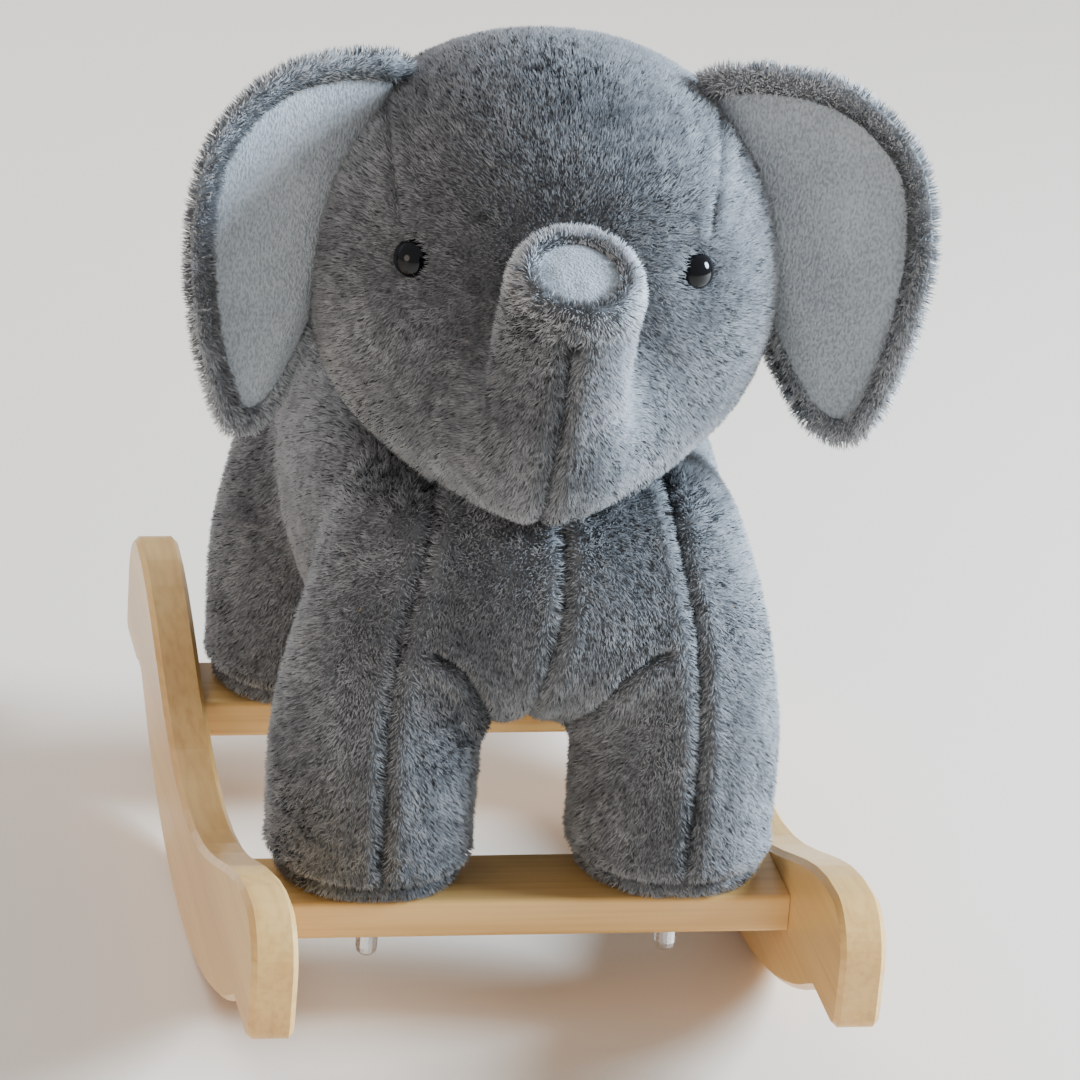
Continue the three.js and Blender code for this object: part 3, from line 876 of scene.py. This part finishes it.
def shape_face(cover):
    """Dents round the eyes, and the collar and the dish at the trunk's tip."""
    points, normals = coordinates(cover.data), vertex_normals(cover.data)
    dents = -3.5 * MM * np.exp(-(nearest_eye(points) / (11 * MM)) ** 2)
    across, along = from_tip(points)
    at_tip = ease((along + 22 * MM) / (12 * MM))
    collar = 4 * MM * np.exp(-((across - 29 * MM) / (5 * MM)) ** 2)
    dish = 3.5 * MM * ease((TIP_DISC_RADIUS + 3 * MM - across) / (4 * MM))
    axis = from_head(TRUNK_LINE[-1]) - from_head(TRUNK_LINE[-2])
    put_coordinates(cover.data, points + normals * dents[:, None]
                    + unit(axis) * (at_tip * (collar - dish))[:, None])


def make_head(material, pile):
    """The cover of the head and the trunk, stuffed, with its seams and its pile."""
    balls = [(HEAD_CENTRE, HEAD_HALF * 0.97)]
    for share in np.linspace(0, 1, 9):
        place = TRUNK_LINE[int(share * (len(TRUNK_LINE) - 1))]
        radius = float(trunk_radius(share)) * 0.98
        balls.append((from_head(place), (radius, radius, radius)))
    cover = rough_shape("head_cover", balls)
    remesh(cover, COVER_VOXEL)
    settle(cover, head_distance)
    points, normals = coordinates(cover.data), vertex_normals(cover.data)
    seams = head_seams(points, normals)
    tip_away = np.linalg.norm(in_head(points) - TRUNK_LINE[-1], axis=1)
    near_eye = nearest_eye(points) < 12 * MM
    held = np.where((seams < 5 * MM) | near_eye | (tip_away < 30 * MM), 1.0, 0.0)
    inflate(cover, held, 3 * MM)
    subdivide(cover)
    shape_face(cover)
    points, normals = coordinates(cover.data), vertex_normals(cover.data)
    press_seams(cover, head_seams(points, normals), 5 * MM, 3.6 * MM)
    cover.data.materials.append(material)
    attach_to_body(cover, "frame")
    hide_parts("head_plush", "trunk_plush")

    def combed(place):
        """Away from the trunk's tip: down the trunk, and back over the skull."""
        return unit(place - from_head(TRUNK_LINE[-1]))

    def keep(place, normal):
        """Pile everywhere but on the eyes, on the trunk's disc and deep in the body."""
        across, along = from_tip(place)
        on_disc = (across < TIP_DISC_RADIUS - 0.5 * MM) & (along > -12 * MM)
        on_eye = nearest_eye(place) <= 9 * MM
        return ~on_eye & ~on_disc & (body_distance(place) > -4 * MM)

    def painted_light(place):
        """Painted light: the hair round the trunk's tip is the palest, as where light catches its rim,
        and it fades down the trunk.
        """
        across, along = from_tip(place)
        return 0.7 * ease((along + 26 * MM) / (20 * MM)) * ease((46 * MM - across) / (8 * MM))

    # The trunk tip's pile gets painted light from the function above.
    grow_pile("head_pile", cover, riding_on("frame"), combed, pile, 31, keep=keep, painted_light=painted_light)


def copy_of(node, name):
    """A new piece with the shape of a CAD solid."""
    return link_mesh(name, frame["nodes"][node].data.copy())


def relax(piece, rounds):
    """Smooths a mesh, with every point half way to the mean of its neighbours in each round."""
    points, edges = coordinates(piece.data), edge_ends(piece.data)
    for _ in range(rounds):
        points = points + 0.5 * (neighbour_mean(points, edges) - points)
    put_coordinates(piece.data, points)


def shift_along_normals(piece, distance):
    """Moves a piece's whole surface outward, or inward when the distance is negative."""
    put_coordinates(piece.data, coordinates(piece.data) + distance * vertex_normals(piece.data))


# ---- Ears ----

# The ear's outline in its own plane: out from the sewn edge, and up from the head's middle.
EAR_OUTLINE = np.array([
    [0, 106], [32, 121], [84, 116], [126, 84], [139, 36], [134, -14],
    [121, -58], [104, -88], [76, -84], [50, -50], [24, 0], [4, 54]]) * MM
EAR_MIDDLE = np.array([68, 20]) * MM
EAR_ROOT = np.array([76, 4, 0]) * MM       # of the right ear, from the head's middle
EAR_SWEEP = math.radians(19)
EAR_THICKNESS = 15 * MM
EAR_PILE = 3 * MM
EAR_TUCK = 7 * MM              # how deep under the head's pile the ear is sewn in
PANEL_INSET = 16.5 * MM
EAR_FOLD_OUT = 64 * MM         # how far out the fold is, at the height of the head's middle
EAR_FOLD_SLANT = 0.39
EAR_SEED = {"left": 51, "right": 61}


def ear_cup(out, up):
    """How far forward of its plane the ear lies: curled forward outside, turned back inside its fold."""
    outer = np.maximum(0, out - EAR_MIDDLE[0])
    inner = np.maximum(0, EAR_FOLD_OUT - EAR_FOLD_SLANT * up - out)
    return 2.2 * outer ** 2 - 19 * inner ** 2


def ear_turn(hand):
    """Turns points of an ear's own frame into the head's frame, as rows times its transpose."""
    angle = -SIDES[hand] * EAR_SWEEP - HEAD_TURN
    c, s = math.cos(angle), math.sin(angle)
    return np.array([[c, -s, 0], [s, c, 0], [0, 0, 1]])


def ear_root(hand):
    """The middle of an ear's sewn edge, in the head's frame."""
    return EAR_ROOT * (SIDES[hand], 1, 1)


def ear_pad(name, hand, inset, depth_at, rings=22):
    """A closed pad of the ear's outline, drawn in by an inset. depth_at gives how far forward
    each point of its back and front lies, from its share of the way out and from its edge."""
    edge = closed_curve_points(EAR_OUTLINE, 16) - EAR_MIDDLE
    length = np.linalg.norm(edge, axis=1, keepdims=True)
    edge = edge * (1 - inset / length)
    latitude = np.linspace(-math.pi / 2, math.pi / 2, 2 * rings + 1)
    points = []
    for angle in latitude:
        reach = max(math.cos(angle), 1e-3)
        flat = EAR_MIDDLE + edge * reach
        from_edge = (1 - reach) * length[:, 0]
        depth = depth_at(math.sin(angle), reach, from_edge)
        forward = -depth - ear_cup(flat[:, 0], flat[:, 1])
        points.append(np.stack([SIDES[hand] * flat[:, 0], forward, flat[:, 1]], axis=1))
    points = np.concatenate(points) @ ear_turn(hand).T + ear_root(hand)
    around = len(edge)
    faces = []
    for ring in range(2 * rings):
        low, high = ring * around, (ring + 1) * around
        for i in range(around):
            j = (i + 1) % around
            face = [low + i, low + j, high + j, high + i]
            faces.append(face if SIDES[hand] < 0 else face[::-1])
    mesh = bpy.data.meshes.new(name)
    mesh.from_pydata([tuple(p) for p in tucked_into_head(points)], [], faces)
    mesh.validate()
    mesh.update()
    close_ends(mesh)
    mesh.shade_smooth()
    return link_mesh(name, mesh)


def close_ends(mesh):
    """Draws the small open rings at the middle of a pad's back and front together."""
    shape = bmesh.new()
    shape.from_mesh(mesh)
    bmesh.ops.remove_doubles(shape, verts=shape.verts, dist=0.25 * MM)
    bmesh.ops.holes_fill(shape, edges=shape.edges, sides=0)
    shape.to_mesh(mesh)
    shape.free()


def tucked_into_head(local):
    """Points of the head's frame in the toy's frame, with what lies deep in the head brought up
    to just under its cover, where the ear is sewn in."""
    too_deep = np.maximum(0, -skull_distance(local, PILE) - EAR_TUCK)
    return from_head(local + unit(local / HEAD_HALF ** 2) * too_deep[:, None])


def blending_from_head(hand):
    """Finds the ear's hinge from the joints, but only bakes a piece's place into its mesh: nothing swings
    on the hinge.
    """
    joint = next(j for j in frame["joints"] if j["child"] == f"ear_{hand}")
    hinge, axis = np.array(joint["pos_m"]), unit(np.array(joint["axis"]))
    outward = unit(np.cross(axis, [0, 1, 0]))
    outward = outward * np.sign(outward[0] * SIDES[hand])
    return lambda piece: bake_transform(piece)


def make_ear(hand, fur, smooth, pile):
    """A furry back whose rim wraps round a smooth front panel, set in a shallow dish."""
    low, high, dish = EAR_PILE, EAR_THICKNESS - EAR_PILE, 8.5 * MM

    def cover_depth(height, reach, from_edge):
        """A flat pad with a round edge, hollowed in front inside its rim."""
        share = (math.copysign(math.sqrt(abs(height)), height) + 1) / 2
        depth = low + (high - low) * share
        if height <= 0:
            return np.full_like(from_edge, depth)
        return depth - (high - dish) * ease((from_edge - 9 * MM) / (6 * MM)) * share

    def panel_depth(height, reach, from_edge):
        """The panel lies in the dish, crowned away from its edge."""
        if height <= 0:
            return np.full_like(from_edge, 9.4 * MM)
        return np.full_like(from_edge, 9.6 * MM + 3.2 * MM * (1 - reach ** 5))

    attach = blending_from_head(hand)
    cover = ear_pad(f"ear_cover_{hand}", hand, EAR_PILE, cover_depth)
    cover.data.materials.append(fur)
    panel = ear_pad(f"ear_front_{hand}", hand, PANEL_INSET, panel_depth)
    panel.data.materials.append(smooth)

    def keep(place, normal):
        """Pile on the back and the rim, but not under the smooth panel nor inside the head."""
        local = (in_head(place) - ear_root(hand)) @ ear_turn(hand)
        flat = np.stack([SIDES[hand] * local[:, 0], local[:, 2]], axis=1)
        edge = closed_curve_points(EAR_OUTLINE, 12)
        from_edge = polyline_distance(flat, np.vstack([edge, edge[:1]]))
        front = -local[:, 1] - ear_cup(flat[:, 0], flat[:, 1]) > 0.5 * EAR_THICKNESS
        covered = front & (from_edge > PANEL_INSET - 0.5 * MM)
        return ~covered & (skull_distance(in_head(place), PILE) > 0)

    middle = middle_of(f"ear_back_{hand}")
    # Painted light: the ear's pile is lifted to pale tones all over, for light shining through its
    # backlit rims.
    grow_pile(f"ear_pile_{hand}", cover, attach, lambda place: unit(place - middle), pile,
              EAR_SEED[hand], spacing=0.9 * MM, length=6 * MM, lean=20, keep=keep,
              painted_light=lambda place: np.full(len(place), 0.85))
    sewn = ((cover, "ear_back", "fur", 0.4), (panel, "ear_panel", "velour", 0.3))
    for piece, node, slot, fill in sewn:
        attach(piece)
        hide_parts(f"{node}_{hand}")


def make_tail(material, pile):
    """The tail keeps its CAD shape, smoothed, under its pile."""
    cover = copy_of("tail_plush", "tail_cover")
    cover.data.materials.clear()
    remesh(cover, TAIL_VOXEL)
    relax(cover, 4)
    shift_along_normals(cover, -2 * MM)
    subdivide(cover)
    cover.data.materials.append(material)
    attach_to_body(cover, "tail")
    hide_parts("tail_plush")
    grow_pile("tail_pile", cover, riding_on("tail"), downward, pile, 71, lean=45)


def revolve(name, profile, place, way, steps=40):
    """A smooth solid of revolution: the profile is (radius, height) along a direction."""
    mesh = bpy.data.meshes.new(name)
    shape = bmesh.new()
    rings = []
    for radius, height in profile:
        if radius < 1e-6:
            rings.append([shape.verts.new((0, 0, height))] * steps)
        else:
            angles = [2 * math.pi * i / steps for i in range(steps)]
            rings.append([shape.verts.new((radius * math.cos(a), radius * math.sin(a), height))
                          for a in angles])
    for low, high in zip(rings[:-1], rings[1:]):
        for i in range(steps):
            j = (i + 1) % steps
            corners = []
            for vertex in (low[i], low[j], high[j], high[i]):
                if vertex not in corners:
                    corners.append(vertex)
            if len(corners) > 2:
                shape.faces.new(corners)
    turn = Vector(way).to_track_quat("Z", "Y").to_matrix().to_4x4()
    bmesh.ops.transform(shape, matrix=Matrix.Translation(Vector(place)) @ turn, verts=shape.verts)
    bmesh.ops.recalc_face_normals(shape, faces=shape.faces)
    shape.to_mesh(mesh)
    shape.free()
    mesh.shade_smooth()
    return link_mesh(name, mesh)


def make_eye(side, material):
    """A safety eye: a high polished dome with a rounded edge on a short stem."""
    way, top = eye_line(side)
    radius, height = EYE_RADIUS, EYE_DOME_HEIGHT
    stem, stem_end = 2.2 * MM, -14 * MM
    dome = [(radius * math.cos(a), height * math.sin(a)) for a in np.linspace(0, math.pi / 2, 14)]
    dome[-1] = (0, height)
    profile = [(0, stem_end), (stem, stem_end), (stem, -1.2 * MM), (radius * 0.94, -1 * MM), *dome]
    eye = revolve(f"eye_dome_{side}", profile, HEAD_CENTRE + way * (top + EYE_RAISED - height), way)
    eye.data.materials.append(material)
    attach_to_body(eye, "frame")
    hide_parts(f"eye_{side}")


def make_tip_disc(material):
    """The smooth round end of the trunk, crowned and drawn in at its sewn edge."""
    tip = from_head(TRUNK_LINE[-1])
    way = unit(from_head(TRUNK_LINE[-1]) - from_head(TRUNK_LINE[-2]))
    radius = TIP_DISC_RADIUS + 0.5 * MM
    profile = [(0, -7 * MM), (radius * 0.9, -7 * MM), (radius, -5 * MM)]
    for share in np.linspace(0.98, 0.0, 24):
        profile.append((radius * share, -5 * MM + 4.5 * MM * math.sqrt(1 - share ** 2.6)))
    disc = revolve("trunk_tip_velour", profile, tip, way, 96)
    points = coordinates(disc.data)
    puckers = smooth_noise(points, 7 * MM, 81)[:, 0] * 0.4 * MM
    put_coordinates(disc.data, points + vertex_normals(disc.data) * puckers[:, None])
    disc.data.materials.append(material)
    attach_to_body(disc, "frame")
    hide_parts("trunk_tip_disc")


# ---- The parts that keep their CAD shape ----

def dress(node, material, round_edge):
    """A CAD part with a material, its sharp edges eased."""
    part = frame["nodes"][node]
    part.data.materials.clear()
    part.data.materials.append(material)
    bevel = part.modifiers.new("eased_edges", "BEVEL")
    bevel.width = round_edge
    bevel.segments = 3
    bevel.limit_method = "ANGLE"
    bevel.angle_limit = math.radians(25)
    bevel.harden_normals = True
    part.data.shade_smooth()


def dress_hard_parts():
    """Every CAD part that isn't soft, by the start of its name."""
    rocker_wood, slat_wood = maple("maple_rocker", 1), maple("maple_slat", 0)
    bare, zinc, plastic = bare_wood(), bright_zinc(), washer_plastic()
    looks = {"rocker": (rocker_wood, 1.6 * MM), "slat": (slat_wood, 1.2 * MM), "dowel": (bare, 0.4 * MM),
             "leg": (bare, 0.8 * MM), "seat_board": (bare, 0.8 * MM), "seat_screw": (zinc, 0.2 * MM),
             "bolt": (zinc, 0.3 * MM), "washer": (zinc, 0.3 * MM), "dome": (zinc, 0.5 * MM),
             "eye_washer": (plastic, 0.2 * MM)}
    for node in frame["nodes"]:
        for start, look in looks.items():
            if node.startswith(start):
                dress(node, *look)


add_camera()
add_stage()
dress_hard_parts()
cloth_backing = backing_cloth("backing_cloth", (0.10, 0.104, 0.112), (0.16, 0.165, 0.174))
# Painted light: the ears' backing is paler than the body's, for light through their backlit rims.
ear_backing_painted_light = backing_cloth("ear_backing_painted_light", (0.26, 0.275, 0.295), (0.36, 0.375, 0.40))
smooth_velour = velour()
pile_tones = pile_materials()
make_body(cloth_backing, pile_tones)
make_head(cloth_backing, pile_tones)
make_tip_disc(smooth_velour)
eye_black = black_gloss()
for hand in ("left", "right"):
    make_eye(hand, eye_black)
    make_ear(hand, ear_backing_painted_light, smooth_velour, pile_tones)
make_tail(cloth_backing, pile_tones)
